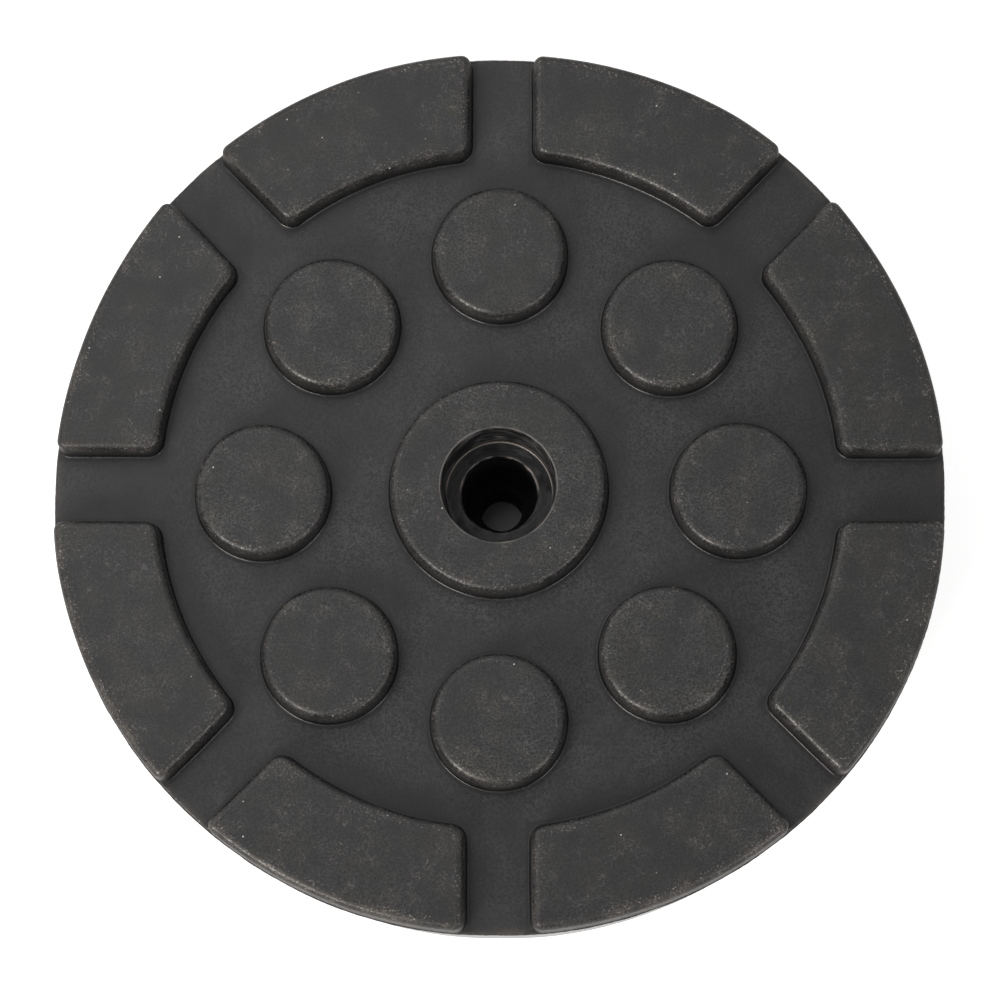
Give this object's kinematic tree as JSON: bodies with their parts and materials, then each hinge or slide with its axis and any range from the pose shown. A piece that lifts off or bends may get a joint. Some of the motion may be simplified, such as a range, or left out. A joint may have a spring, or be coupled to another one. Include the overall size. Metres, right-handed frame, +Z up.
{
  "type": "rubber jack pad",
  "caption": "Round moulded rubber pad for a jack or lift, with raised rim segments, round studs and a centre boss bored in steps for a sunk screw.",
  "frame": {"origin": "middle of the flat underside, on the axis of the screw bore", "axes": "+Z up out of the loaded top, +X and -Y each along a channel between two rim segments, with a stud on each"},
  "size_m": [0.12, 0.12, 0.028],
  "materials": {
    "black_rubber": "matt moulded"
  },
  "bodies": {
    "root": {"jack_pad": "black_rubber"}
  },
  "joints": []
}
